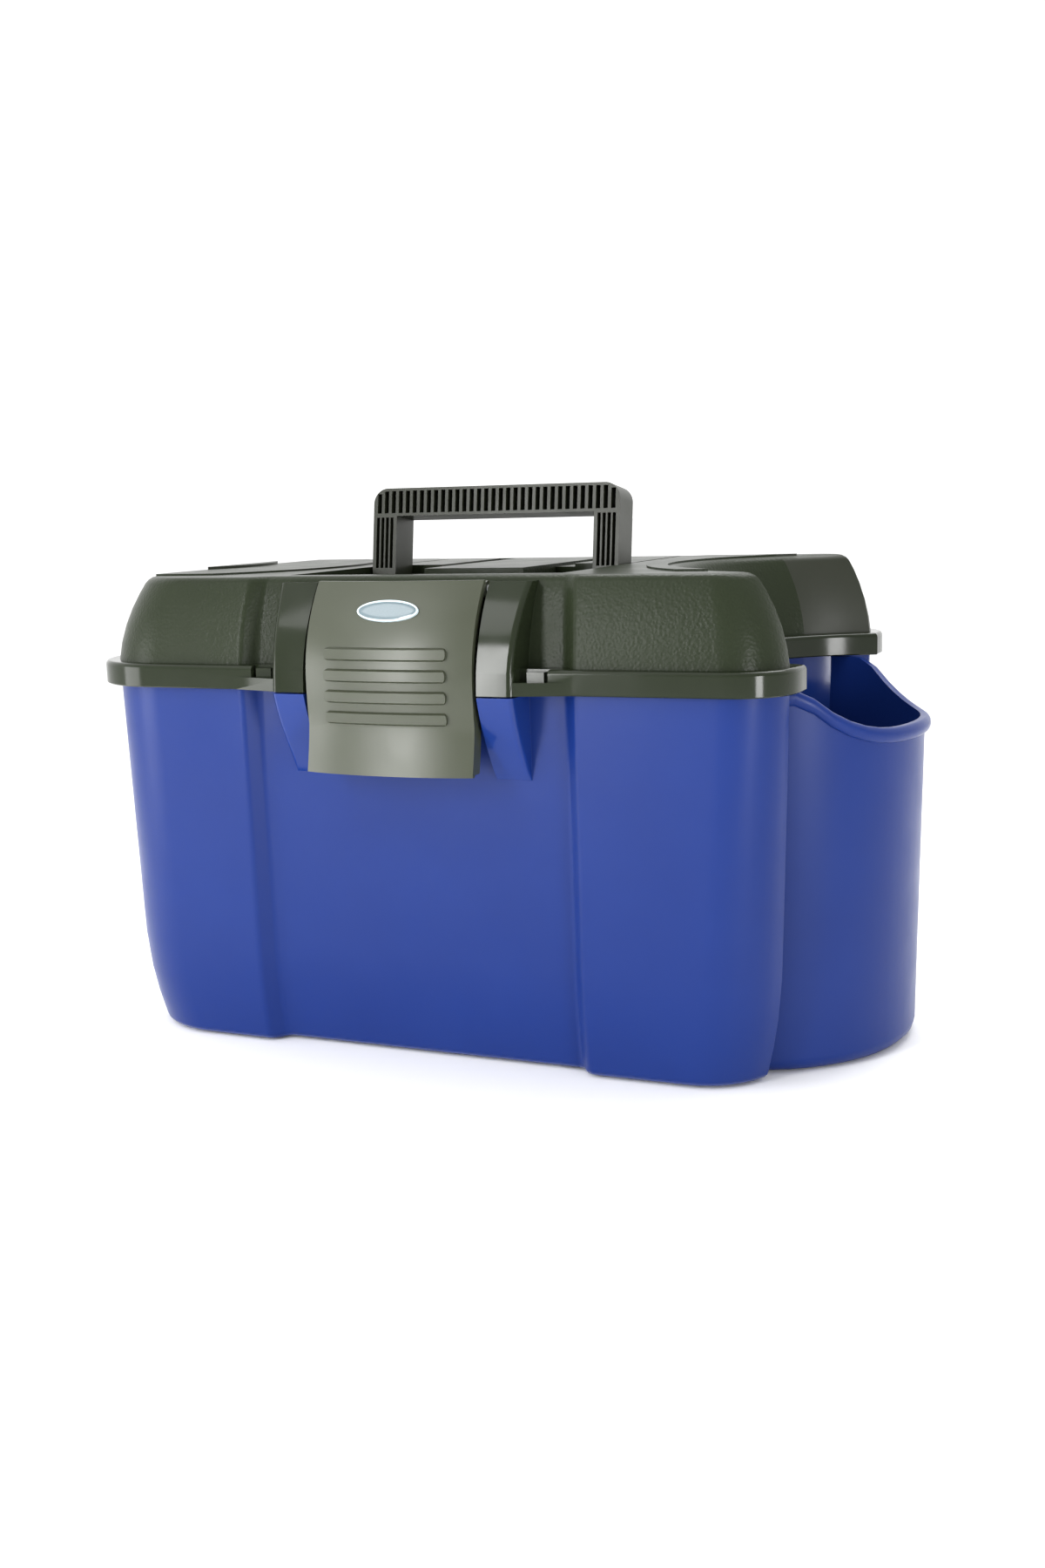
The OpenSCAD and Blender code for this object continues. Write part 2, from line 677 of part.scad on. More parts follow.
// Sheet under the ramp
module ramp_back() {
    low = lid_z - ramp_depth;
    along_x(2 * (well_x + wall)) polygon([[well_y0 - ramp_l - wall, lid_z - lid_top_t / 2],
        [well_y0 - ramp_l - wall, lid_z - lid_top_t - wall / 2], [well_y0 - wall / 2, low - wall],
        [well_y0 - wall / 2, lid_z - lid_top_t / 2]]);
}
// Grooves from the well to the rear edge
groove_end = half_d - lid_in_side - lobe_step - top_round - 2;
seam_w = 2.4;
module grooves() {
    translate([island_x, well_y1 - 1, lid_z - groove_depth])
        cube([groove_w, groove_end - well_y1 + 1, groove_depth + 1]);
    translate([well_x - seam_w, well_y1 + seam_w, lid_z - groove_depth / 2])
        cube([seam_w, groove_end - well_y1 - seam_w, groove_depth]);
}
// Raised border along the bay
step_reach = 92;
module border() {
    inner = bay_r + lid_in_bay + top_round + 1;
    intersection() {
        translate([bay_x, 0, lid_z - 1]) difference() {
            cylinder(r = inner + border_w, h = border_h + 1);
            translate([0, 0, -1]) cylinder(r = inner, h = border_h + 3);
        }
        translate([0, -step_reach, 0]) cube([bay_x, 2 * step_reach, 2 * lid_z]);
    }
}
// Raised steps on the lid's plain end, bounded by arcs about the mirrored centre of the bay
module top_step(r, h) {
    edge = half_l - lid_in_left - top_round - 3;
    intersection() {
        translate([-bay_x, 0, lid_z - 1]) cylinder(r = r, h = h + 1);
        translate([-edge, -step_reach, 0]) cube([edge, 2 * step_reach, 2 * lid_z]);
    }
}
module handle_boss() {
    translate([well_x + (boss_l + wall) / 2, pivot_y, pivot_z]) bar_x(2 * boss_r, boss_l + wall);
}
module handle_bores() {
    for (side = [-1, 1]) translate([side * (well_x + boss_l / 2), pivot_y, pivot_z])
        bar_x(handle_pin_d, boss_l + 2);
}
module lid_knuckle() {
    translate([hinge_x, hinge_y, hinge_z]) bar_x(2 * knuckle_r, lid_knuckle_w);
    translate([hinge_x - lid_knuckle_w / 2, rim_front - wall, hinge_z - knuckle_r])
        cube([lid_knuckle_w, hinge_y - rim_front + wall, 2 * knuckle_r]);
}
latch_pin_l = latch_w + 2 * latch_gap + pillar_w;

module lid() {
    color(olive) difference() {
        union() {
            difference() {
                union() {
                    loft(lid_skin, plan_cap);
                    well_pan();
                    ramp_back();
                    both_sides() handle_boss();
                    both_sides() slot_back();
                }
                difference() {
                    well();
                    island(0);
                }
                island(wall);
                ramp();
                both_sides() grooves();
                both_sides() rim_slot();
            }
            both_sides() pillar();
            both_sides() pillar_foot();
            both_sides() rim_lug();
            border();
            top_step(step_r, border_h);
            top_step(step_in_r, border_h + step_h);
            both_sides() lid_knuckle();
        }
        handle_bores();
        translate([0, latch_axis_y, latch_axis_z]) bar_x(latch_pin_d, latch_pin_l + 2 * eps);
        for (side = [-1, 1]) translate([side * hinge_x, hinge_y, hinge_z])
            bar_x(hinge_pin_d + run_fit, lid_knuckle_w + 2);
    }
}

module hinge_pin_right() {
    color(steel) translate([hinge_x, hinge_y, hinge_z]) bar_x(hinge_pin_d, hinge_pin_l);
}

module hinge_pin_left() {
    color(steel) translate([-hinge_x, hinge_y, hinge_z]) bar_x(hinge_pin_d, hinge_pin_l);
}

// Latch

flange_low = 9;
flange_mid = latch_proud - 1.4;
hook_w = 50;
badge_z = lid_z - 16.3;
badge_tilt = atan(2 * latch_top_in * (badge_z - latch_swell_z) / pow(latch_top - latch_swell_z, 2));
badge_n = 40;
bar_proud = 1.8;
first_bar_z = badge_z - 17.6;

latch_levels = concat([for (i = [0 : 4]) latch_low + lip_h * i / 4],
                      [for (i = [1 : 3]) latch_crease_z + (latch_swell_z - latch_crease_z) * i / 3],
                      [for (i = [1 : 8]) latch_swell_z + (latch_top - latch_swell_z) * i / 8]);

// How far the face is crowned at a place along it
function crown(x) = latch_crown * (1 - pow(min(1, abs(2 * x / latch_w)), 2.4));

// Section of the crowned plate at a place along it
function plate_section(x) =
    let (last = len(latch_levels) - 1)
    concat([for (i = [last : -1 : 0]) [x, -latch_front(latch_levels[i]) - crown(x), latch_levels[i]]],
           [for (z = latch_levels) [x, -latch_front(z) - crown(x) + latch_t, z]]);
plate_n = 12;
module latch_plate() {
    loft([for (i = [0 : plate_n]) plate_section(latch_w * (i / plate_n - 0.5))],
         strip_cap(2 * len(latch_levels)));
}

// Side flange behind the plate, down to a height
module latch_flange(depth, top) {
    levels = [for (z = latch_levels) if (z > latch_low && z < top) z];
    ends = concat([latch_low + 1], levels, [top]);
    polygon(concat([for (z = ends) [-latch_front(z) + latch_t / 2, z]],
                   [for (i = [len(ends) - 1 : -1 : 0]) [-latch_front(ends[i]) + depth, ends[i]]]));
}

// Neck that joins the plate to the barrel
function neck_section(x, low, high) =
    let (mid = latch_t / 2 - crown(x))
    [[x, -latch_front(high) + mid, high], [x, -latch_front(low) + mid, low],
     [x, latch_axis_y, low], [x, latch_axis_y, high]];

// A raised bar that follows the crown
bar_chamfer = 1;
function bar_section(x, z) =
    let (low = z - bar_h, c = bar_chamfer, face = -crown(x), mid = face + latch_t / 2)
    [[x, mid - latch_front(z), z], [x, face - latch_front(z) + 0.1, z],
     [x, face - latch_front(z - c) - bar_proud, z - c], [x, face - latch_front(low + c) - bar_proud, low + c],
     [x, face - latch_front(low) + 0.1, low], [x, mid - latch_front(low), low]];
bar_steps = 8;
module latch_bar(z) {
    intersection() {
        loft([for (i = [0 : bar_steps]) bar_section(bar_l * (i / bar_steps - 0.5), z)], strip_cap(6));
        translate([0, 0, z - bar_h / 2]) rotate([90, 0, 0]) linear_extrude(2 * half_d)
            rounded(bar_l - 0.4, bar_h + 0.4, 0.9 * bar_h / 2);
    }
}

// The badge's oval, seated square to the latch's face
module badge_place(depth) {
    translate([0, -latch_front(badge_z) - latch_crown, badge_z]) rotate([90 - badge_tilt, 0, 0])
        translate([0, 0, -depth]) children();
}
module oval(grow) {
    polygon([for (i = [0 : badge_n - 1]) let (q = 360 * i / badge_n)
        [(badge_l / 2 + grow) * cos(q), (badge_h / 2 + grow) * sin(q)]]);
}

module latch() {
    hook_z = catch_z + catch_h / 2;
    hook_y = -panel_face(catch_z) - catch_out - part_gap;
    neck_low = latch_axis_z - 0.9 * latch_barrel_r;
    neck_high = latch_axis_z + 0.9 * latch_barrel_r;
    color(olive) difference() {
        union() {
            latch_plate();
            both_sides() translate([(latch_w - wall) / 2 - 0.3, 0, 0]) along_x(wall) {
                latch_flange(flange_mid, latch_top - 1);
                latch_flange(flange_low, guard_top - part_gap);
            }
            translate([0, latch_axis_y, latch_axis_z]) bar_x(2 * latch_barrel_r, latch_w);
            loft([for (i = [0 : plate_n])
                neck_section((latch_w - 1) * (i / plate_n - 0.5), neck_low, neck_high)], fan_cap(4));
            for (i = [0 : bar_n - 1]) latch_bar(first_bar_z - i * bar_pitch);
            along_x(hook_w) polygon([[-latch_front(hook_z) - 0.65 * latch_crown, hook_z], [hook_y, hook_z],
                [hook_y, hook_z - 2], [-latch_front(hook_z - 6) - 0.65 * latch_crown, hook_z - 6]]);
        }
        translate([0, latch_axis_y, latch_axis_z]) bar_x(latch_pin_d + run_fit, latch_w + 2);
        badge_place(badge_seat) linear_extrude(4) oval(badge_gap);
    }
}

module latch_badge() {
    color(badge_grey) badge_place(badge_seat) linear_extrude(badge_t) oval(0);
}

module latch_pin() {
    color(steel) translate([0, latch_axis_y, latch_axis_z]) bar_x(latch_pin_d, latch_pin_l);
}

// Handle

// The raised handle turns about its pivot
module at_pivot() {
    translate([0, pivot_y, pivot_z]) rotate([-handle_lean, 0, 0]) children();
}

// Front view of the handle
module handle_front() {
    low = -grip_d;
    difference() {
        union() {
            translate([-handle_w / 2, low]) square([handle_w, handle_h - handle_round - low]);
            translate([-handle_w / 2 + handle_round, low])
                square([handle_w - 2 * handle_round, handle_h - low]);
            for (side = [-1, 1]) translate([side * (handle_w / 2 - handle_round), handle_h - handle_round])
                circle(handle_round);
        }
        translate([-handle_w / 2 + leg_w, low - 1])
            square([handle_w - 2 * leg_w, handle_h - grip_h - low + 1]);
    }
}

// Slots on one face of the grip and legs
slot_rib = 1.9;
module slots() {
    grip_pitch = (handle_w - 2 * flange_t) / slot_n;
    leg_pitch = (leg_w - 2 * flange_t) / leg_slot_n;
    leg_low = grip_d / 2 - 2;
    for (i = [0 : slot_n - 1])
        let (x = -handle_w / 2 + flange_t + (i + 0.5) * grip_pitch,
             down = max(0, abs(x) - handle_w / 2 + handle_round),
             top = handle_h - flange_t - (handle_round - sqrt(handle_round * handle_round - down * down)))
        translate([x - (grip_pitch - slot_rib) / 2, -grip_d / 2 - 1, handle_h - grip_h + flange_t])
            cube([grip_pitch - slot_rib, slot_depth + 1, top - handle_h + grip_h - flange_t]);
    for (side = [-1, 1], i = [0 : leg_slot_n - 1])
        translate([side * (handle_w / 2 - leg_w / 2) - leg_w / 2 + flange_t + i * leg_pitch
                   + (leg_pitch - 1.9) / 2, -grip_d / 2 - 1, leg_low])
            cube([1.9, slot_depth + 1, handle_h - grip_h - flange_t / 2 - leg_low]);
}

module handle() {
    color(olive) at_pivot() difference() {
        intersection() {
            rotate([90, 0, 0]) linear_extrude(grip_d, center = true) handle_front();
            along_x(handle_w + 2) {
                circle(d = grip_d);
                translate([-grip_d / 2, 0]) square([grip_d, handle_h + 1]);
            }
        }
        slots();
        mirror([0, 1, 0]) slots();
        bar_x(handle_pin_d + run_fit, handle_w + 2);
    }
}

// Pins that carry the handle, from the bosses on the lid into the legs
handle_pin_x0 = handle_w / 2 - pin_in;
handle_pin_x1 = well_x + boss_l - 1;
module handle_pin_right() {
    color(steel) translate([(handle_pin_x0 + handle_pin_x1) / 2, pivot_y, pivot_z])
        bar_x(handle_pin_d, handle_pin_x1 - handle_pin_x0);
}

module handle_pin_left() {
    color(steel) mirror([1, 0, 0]) translate([(handle_pin_x0 + handle_pin_x1) / 2, pivot_y, pivot_z])
        bar_x(handle_pin_d, handle_pin_x1 - handle_pin_x0);
}

// Tray

tray_left = half_l - tub_in(tray_z) - wall - tray_gap;
tray_right = bay_x - bay_r - wall - 2 * tray_gap;
tray_mid = (tray_right - tray_left) / 2;
tray_left_r = corner_r - wall - tray_gap;

// Plan of the tray: wide corners at the plain end, small ones beside the bay
module tray_plan(inset) {
    x0 = -tray_left + inset;
    x1 = tray_right - inset;
    y = tray_half_d - inset;
    r0 = tray_left_r - inset;
    r1 = tray_r - inset;
    translate([x0 + r0, -y]) square([x1 - r1 - x0 - r0, 2 * y]);
    translate([x0, r0 - y]) square([2 * r0, 2 * (y - r0)]);
    translate([x1 - 2 * r1, r1 - y]) square([2 * r1, 2 * (y - r1)]);
    for (side = [-1, 1]) {
        translate([x0 + r0, side * (y - r0)]) circle(r0);
        translate([x1 - r1, side * (y - r1)]) circle(r1);
    }
}

// Dividers at shares of the tray's length, in front of the carrying rib or behind it
module dividers(shares, side) {
    for (share = shares)
        let (x = share * (tray_left + tray_right) - tray_left)
        translate([x - tray_wall / 2, side > 0 ? 0 : -2 * tray_half_d, 0])
            cube([tray_wall, 2 * tray_half_d, 2 * tray_h]);
}

module tray() {
    hole_h = 20;
    rib_l = tray_hole_l + 50;
    raised_t = tray_rib_t - 1;
    color(olive) translate([0, 0, tray_z]) difference() {
        union() {
            linear_extrude(tray_h) tray_plan(0);
            translate([tray_mid - rib_l / 2, -raised_t / 2, tray_wall])
                cube([rib_l, raised_t, tray_h + tray_rib_up - tray_wall]);
        }
        difference() {
            translate([0, 0, tray_wall]) linear_extrude(tray_h) tray_plan(tray_wall);
            translate([-tray_left, -tray_rib_t / 2, 0])
                cube([tray_left + tray_right, tray_rib_t, 2 * tray_h]);
            dividers([1 / 3, 2 / 3], -1);
            dividers([2 / 3], 1);
        }
        translate([tray_mid - tray_hole_l / 2, -tray_rib_t, tray_h + tray_rib_up - 6 - hole_h])
            cube([tray_hole_l, 2 * tray_rib_t, hole_h]);
    }
}

tub();
tub_floor();
pocket();
lid();
hinge_pin_left();
hinge_pin_right();
latch();
latch_badge();
latch_pin();
handle();
handle_pin_left();
handle_pin_right();
tray();
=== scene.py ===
# %% [markdown]
# # A grooming box, dressed for a studio picture
# The solids of the box come from its CAD model and fix every size and every hinge. This script gives them
# the look of the real thing: rounded moulded edges, grained and glossy plastic, steel pins and a bare oval
# badge. Each step says what the piece is on the real box, and why it is made the way it is.

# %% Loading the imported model
import math

import bpy
from mathutils import Matrix, Vector


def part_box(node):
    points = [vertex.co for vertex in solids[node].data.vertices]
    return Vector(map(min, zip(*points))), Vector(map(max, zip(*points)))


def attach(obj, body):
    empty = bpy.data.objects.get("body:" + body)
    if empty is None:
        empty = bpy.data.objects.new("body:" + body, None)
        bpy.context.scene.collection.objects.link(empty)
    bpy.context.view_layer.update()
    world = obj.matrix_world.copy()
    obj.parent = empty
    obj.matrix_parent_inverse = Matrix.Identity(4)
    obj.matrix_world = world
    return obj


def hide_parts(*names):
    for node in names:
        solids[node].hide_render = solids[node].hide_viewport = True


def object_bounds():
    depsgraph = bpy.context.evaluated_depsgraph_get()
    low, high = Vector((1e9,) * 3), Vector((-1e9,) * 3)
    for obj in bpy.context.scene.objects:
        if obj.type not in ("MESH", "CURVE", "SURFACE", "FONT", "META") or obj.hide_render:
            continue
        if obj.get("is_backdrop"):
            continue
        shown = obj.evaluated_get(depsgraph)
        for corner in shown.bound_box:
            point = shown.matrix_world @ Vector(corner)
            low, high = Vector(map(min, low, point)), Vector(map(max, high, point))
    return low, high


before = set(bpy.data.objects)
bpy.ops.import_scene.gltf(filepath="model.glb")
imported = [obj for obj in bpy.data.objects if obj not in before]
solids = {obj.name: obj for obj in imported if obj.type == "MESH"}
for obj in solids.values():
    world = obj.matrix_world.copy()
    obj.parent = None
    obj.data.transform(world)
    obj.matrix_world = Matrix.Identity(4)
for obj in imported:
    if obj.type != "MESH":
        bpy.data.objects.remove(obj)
cad_low, cad_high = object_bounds()
scene = bpy.context.scene
MM = 0.001
print("solids:", sorted(solids))

# %% [markdown]
# ## The camera
# A product picture of this kind is taken from a little above the lid, turned about 23 degrees towards the
# pocket at the right end. The numbers below were fitted to the edges of the box, so the render can be laid
# over the picture. The frame is 1200 x 1800 pixels, and Blender measures the lens along the longer side.

# %% Placing the camera
turn, tilt, roll = 0.399486, 0.169162, -0.027401  # radians
target = Vector((0.012132, 0, 0.129563))
distance = 0.971469
frame_px, focal_px = 1800, 1917.727
sensor_mm = 36

right = Vector((math.cos(turn), math.sin(turn), 0))
level = Vector((-math.sin(turn), math.cos(turn), 0))
ahead = level * math.cos(tilt) - Vector((0, 0, 1)) * math.sin(tilt)
up = level * math.sin(tilt) + Vector((0, 0, 1)) * math.cos(tilt)
right, up = right * math.cos(roll) + up * math.sin(roll), up * math.cos(roll) - right * math.sin(roll)

camera_data = bpy.data.cameras.new("studio_camera")
camera_data.sensor_width = sensor_mm
camera_data.lens = sensor_mm * focal_px / frame_px
camera = bpy.data.objects.new("studio_camera", camera_data)
scene.collection.objects.link(camera)
camera.matrix_world = Matrix((
    (right.x, up.x, -ahead.x, 0),
    (right.y, up.y, -ahead.y, 0),
    (right.z, up.z, -ahead.z, 0),
    (0, 0, 0, 1)))
camera.location = target - ahead * distance
scene.camera = camera
print("camera stands at", [round(v, 3) for v in camera.location])

# %% [markdown]
# ## Helpers
# Colours are written as the sRGB hex values that a colour picker shows. Cycles works with linear light, so
# one function converts them. A second small function adds a shader node, with its settings and its links. A
# third starts a material, and a fourth selects one object alone, because an operator acts on all that is
# selected. A Mix node has sockets of the same name for numbers and for colours, so they are called by number.

# %% Colour, node, material and selection helpers
COLOUR_A, COLOUR_B, COLOUR_OUT = 6, 7, 2
NUMBER_A, NUMBER_B, NUMBER_OUT = 2, 3, 0


def linear(code):
    """Turns an sRGB hex colour into the linear values that a shader socket takes."""
    parts = [int(code[i:i + 2], 16) / 255 for i in (1, 3, 5)]
    return [p / 12.92 if p <= 0.04045 else ((p + 0.055) / 1.055) ** 2.4 for p in parts] + [1]


def add(tree, kind, links=None, **settings):
    """Adds a node: settings name its properties, links join its input sockets to values or other sockets."""
    made = tree.nodes.new(kind)
    for name, value in settings.items():
        setattr(made, name, value)
    for name, value in (links or {}).items():
        if isinstance(value, bpy.types.NodeSocket):
            tree.links.new(value, made.inputs[name])
        else:
            made.inputs[name].default_value = value
    return made


def new_material(name, values):
    """Starts a material with some values of its shader, and gives it, its node tree and its shader."""
    material = bpy.data.materials.new(name)
    material.use_nodes = True
    shader = material.node_tree.nodes["Principled BSDF"]
    for socket, value in values.items():
        shader.inputs[socket].default_value = value
    return material, material.node_tree, shader


def alone(piece):
    """Selects one object and nothing else."""
    bpy.ops.object.select_all(action="DESELECT")
    piece.select_set(True)
    bpy.context.view_layer.objects.active = piece


# %% [markdown]
# ## Light
# The picture is high key: a white background, and soft boxes that leave clear highlights on the glossy
# pillars and corners. A world of one even white would wash the dark plastic out, because every face mirrors
# it. So the world is white behind, above and to the left of the box, and pale grey on the camera's side and
# at the right, where a studio is darker. A narrow strip box at the left front shows in the pillars and on the
# latch's bars, the box at the right front makes the stripes on the rim's corners, a high one lights the tops
# of the pillars, a low one the blue panel, and the top box the lid.

# %% World
scene.view_settings.view_transform = "Standard"
scene.view_settings.look = "None"

bright_side = (-0.5, 0.75, 0.45)
grey_strength, white_strength = 0.7, 1.35
fade_half_width = 0.3

world = bpy.data.worlds.new("white_studio")
world.use_nodes = True
sky = world.node_tree
direction = add(sky, "ShaderNodeTexCoord").outputs["Generated"]
towards = add(sky, "ShaderNodeVectorMath", {0: direction, 1: bright_side}, operation="DOT_PRODUCT")
fade = add(sky, "ShaderNodeMapRange", {
    "Value": towards.outputs["Value"], "From Min": -fade_half_width, "From Max": fade_half_width,
    "To Min": grey_strength, "To Max": white_strength})
sky.links.new(fade.outputs["Result"], sky.nodes["Background"].inputs["Strength"])
sky.nodes["Background"].inputs["Color"].default_value = (1, 1, 1, 1)
scene.world = world


# %% Soft boxes
def soft_box(name, place, aim, width, height, power):
    """Hangs a rectangular lamp at a place and turns it to a point. Sizes are in metres, power in watts."""
    lamp = bpy.data.lights.new(name, "AREA")
    lamp.shape, lamp.size, lamp.size_y, lamp.energy = "RECTANGLE", width, height, power
    holder = bpy.data.objects.new(name, lamp)
    scene.collection.objects.link(holder)
    holder.location = place
    holder.rotation_euler = (Vector(aim) - Vector(place)).to_track_quat("-Z", "Y").to_euler()


soft_box("strip_box", (-0.44, -1.23, 0.45), (0.06, -0.14, 0.2), width=0.19, height=0.8, power=11)
soft_box("right_box", (1.33, -0.93, 0.26), (0.15, -0.1, 0.2), width=0.32, height=0.5, power=10)
soft_box("high_box", (-0.61, -1.0, 1.29), (0, -0.14, 0.23), width=0.5, height=0.5, power=3.2)
soft_box("low_box", (-0.85, -0.6, 0.2), (-0.02, -0.12, 0.08), width=0.4, height=0.4, power=3)
soft_box("top_box", (0.1, 0.7, 1.4), (0, 0, 0.2), width=1.2, height=0.7, power=14)

# %% [markdown]
# ## Floor
# The box stands on white paper, which is so wide that it ends at the horizon. A plane does it. It lies half
# a millimetre under the tub, so that the two never share a surface.

# %% White paper floor
floor_size, floor_gap = 40, 0.5 * MM
bpy.ops.object.select_all(action="DESELECT")
bpy.ops.mesh.primitive_plane_add(size=floor_size, location=(0, 0, -floor_gap))
floor = bpy.context.object
floor.name = "studio_floor"
# paper is matt, and scatters nearly all the light that it gets
paper, _, _ = new_material("white_paper", {"Base Color": linear("#fdfdfd"), "Roughness": 0.9})
floor.data.materials.append(paper)
floor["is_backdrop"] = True
print("floor:", floor_size, "m wide")

# %% [markdown]
# ## Moulded polypropylene
# Box, lid, latch, handle and tray are injection moulded polypropylene. The plastic has one colour all
# through, but a moulding is never quite even: slow clouds of shade come from the flow of the melt, and the
# mould's own surface is printed on it as a grain. A coarse leather grain could be modelled, but at about
# 0.1 mm deep it only turns the light, so a bump does it. Polypropylene has an index of refraction of 1.49.

# %% A moulded plastic from its colour and grain
PLASTIC_IOR = 1.49
cloud_mm, rubbed_mm = 60, 25
glossier, duller = 0.03, 0.04


def moulded(name, colour, shade, roughness, grain_mm, grain_depth_mm, pebbled=0.0, shine=0.3):
    """Plastic with slow clouds of shade, and a grain of a given width and depth."""
    material, tree, shader = new_material(name, {"IOR": PLASTIC_IOR, "Specular IOR Level": shine})
    place = add(tree, "ShaderNodeTexCoord").outputs["Object"]

    # the clouds of the melt
    clouds = add(tree, "ShaderNodeTexNoise", {"Vector": place, "Scale": 1 / (cloud_mm * MM), "Detail": 2.0})
    tint = add(tree, "ShaderNodeMix", {
        "Factor": clouds.outputs["Fac"], COLOUR_A: linear(colour), COLOUR_B: linear(shade)},
        data_type="RGBA")
    tree.links.new(tint.outputs[COLOUR_OUT], shader.inputs["Base Color"])

    # rubbed and fingered places are a little glossier
    rubbed = add(tree, "ShaderNodeTexNoise", {"Vector": place, "Scale": 1 / (rubbed_mm * MM), "Detail": 3.0})
    gloss = add(tree, "ShaderNodeMapRange", {
        "Value": rubbed.outputs["Fac"], "From Min": 0.3, "From Max": 0.7,
        "To Min": roughness - glossier, "To Max": roughness + duller})
    tree.links.new(gloss.outputs["Result"], shader.inputs["Roughness"])

    # a leather grain is made of pebbles, a plain one of noise
    pebbles = add(tree, "ShaderNodeTexVoronoi", {
        "Vector": place, "Scale": 1 / (grain_mm * MM), "Smoothness": 0.6}, feature="SMOOTH_F1")
    noise = add(tree, "ShaderNodeTexNoise", {
        "Vector": place, "Scale": 1 / (grain_mm * MM), "Detail": 2.0, "Roughness": 0.6})
    height = add(tree, "ShaderNodeMix", {
        "Factor": pebbled, NUMBER_A: noise.outputs["Fac"], NUMBER_B: pebbles.outputs["Distance"]},
        data_type="FLOAT")
    bump = add(tree, "ShaderNodeBump", {
        "Strength": 1.0, "Distance": grain_depth_mm * MM, "Height": height.outputs[NUMBER_OUT]})
    tree.links.new(bump.outputs["Normal"], shader.inputs["Normal"])
    return material


# %% The plastics of the box
# The leather grain is about 1.6 mm wide. On the smooth pieces the mould leaves a faint ripple of 2 to 3 mm.
# walls and top of the lid: a pebbled, broken sheen
lid_grained = moulded("polypropylene_olive_leather_grain", "#22281b", "#282e21", roughness=0.33,
                      grain_mm=1.6, grain_depth_mm=0.2, pebbled=0.6, shine=0.12)
# rim, pillars and well: clear mirrored lamps, on a darker copy of the walls' olive that is painted shade for
# the dark look of the polished rim
lid_polished_painted_shade = moulded("polypropylene_olive_polished_painted_shade", "#1b2114", "#21271a", roughness=0.13,
                     grain_mm=3, grain_depth_mm=0.01, shine=0.26)
# inside of the lid: dull, as it came from the mould
lid_inner = moulded("polypropylene_olive_inside", "#23261c", "#292c22", roughness=0.42,
                    grain_mm=3, grain_depth_mm=0.02)
# latch: lighter and silky, with soft long highlights
latch_satin = moulded("polypropylene_olive_satin", "#363a2c", "#3c4032", roughness=0.34,
                      grain_mm=2, grain_depth_mm=0.02, shine=0.5)
# handle: silky and darker
handle_satin = moulded("polypropylene_olive_handle", "#212419", "#272a1f", roughness=0.34,
                       grain_mm=2, grain_depth_mm=0.02)
# tray: dull, with hardly a highlight
tray_satin = moulded("polypropylene_olive_tray", "#32362b", "#383c31", roughness=0.40,
                     grain_mm=2, grain_depth_mm=0.02)
# outside of the tub and the pocket: deep blue with a soft sheen
tub_satin = moulded("polypropylene_blue_fine_grain", "#122866", "#152d6e", roughness=0.32,
                    grain_mm=3, grain_depth_mm=0.02, shine=0.18)
# guards and inside of the tub: the same blue, polished
tub_glossy = moulded("polypropylene_blue_polished", "#152d6e", "#183276", roughness=0.13,
                     grain_mm=3, grain_depth_mm=0.01)
print("plastics:", [m.name for m in bpy.data.materials if m.name.startswith("poly")])

# %% [markdown]
# ## Finishing the mouldings
# A moulding has no sharp edges: each edge is rounded by the mould. The solids already have their large
# rounds, so a copy of each gets the small ones. The copy's loose triangles are merged, flat faces are joined
# again, and a bevel rounds every edge sharper than 35 degrees. Weighted normals keep the flat faces flat to
# the eye. Polished and grained zones of one moulding are faces with different materials. The tub's walls and
# floor are two solids in the model, for the sake of its collision, and one moulding on the real box: a union
# joins them, so that no seam shows at the bottom edge.

# %% A merged copy of a solid
merge_distance = 0.01 * MM


def copy_of(node, name):
    """Copies a solid and merges its loose triangles."""
    piece = bpy.data.objects.new(name, solids[node].data.copy())
    scene.collection.objects.link(piece)
    alone(piece)
    bpy.ops.object.mode_set(mode="EDIT")
    bpy.ops.mesh.select_all(action="SELECT")
    bpy.ops.mesh.remove_doubles(threshold=merge_distance)
    bpy.ops.object.mode_set(mode="OBJECT")
    return piece


# %% A finished moulding
flat_angle, sharp_angle, smooth_angle = math.radians(0.3), math.radians(35), math.radians(38)


def finish_moulding(node, name, body, bevel_mm, materials, zone=None, joined=None):
    """Copies a solid, joins its triangles, rounds its edges, and gives each zone its finish."""
    piece = copy_of(node, name)
    mesh = piece.data
    if joined:
        other = copy_of(joined, name + "_joined")
        alone(piece)
        union = piece.modifiers.new("union", "BOOLEAN")
        union.operation, union.solver, union.object = "UNION", "EXACT", other
        bpy.ops.object.modifier_apply(modifier=union.name)
        bpy.data.objects.remove(other)
        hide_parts(joined)
    bpy.ops.object.mode_set(mode="EDIT")
    bpy.ops.mesh.select_all(action="SELECT")
    bpy.ops.mesh.dissolve_limited(angle_limit=flat_angle)
    bpy.ops.object.mode_set(mode="OBJECT")
    rounding = piece.modifiers.new("rounding", "BEVEL")
    rounding.width, rounding.segments = bevel_mm * MM, 2
    rounding.limit_method, rounding.angle_limit = "ANGLE", sharp_angle
    bpy.ops.object.modifier_apply(modifier=rounding.name)
    bpy.ops.object.shade_smooth_by_angle(angle=smooth_angle)
    evening = piece.modifiers.new("evening", "WEIGHTED_NORMAL")
    evening.keep_sharp = True
    bpy.ops.object.modifier_apply(modifier=evening.name)
    mesh.materials.clear()
    for material in materials:
        mesh.materials.append(material)
    for face in mesh.polygons:
        face.material_index = zone(face.center / MM, face.normal) if zone else 0
    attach(piece, body)
    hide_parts(node)
    print(name, len(mesh.polygons), "faces")


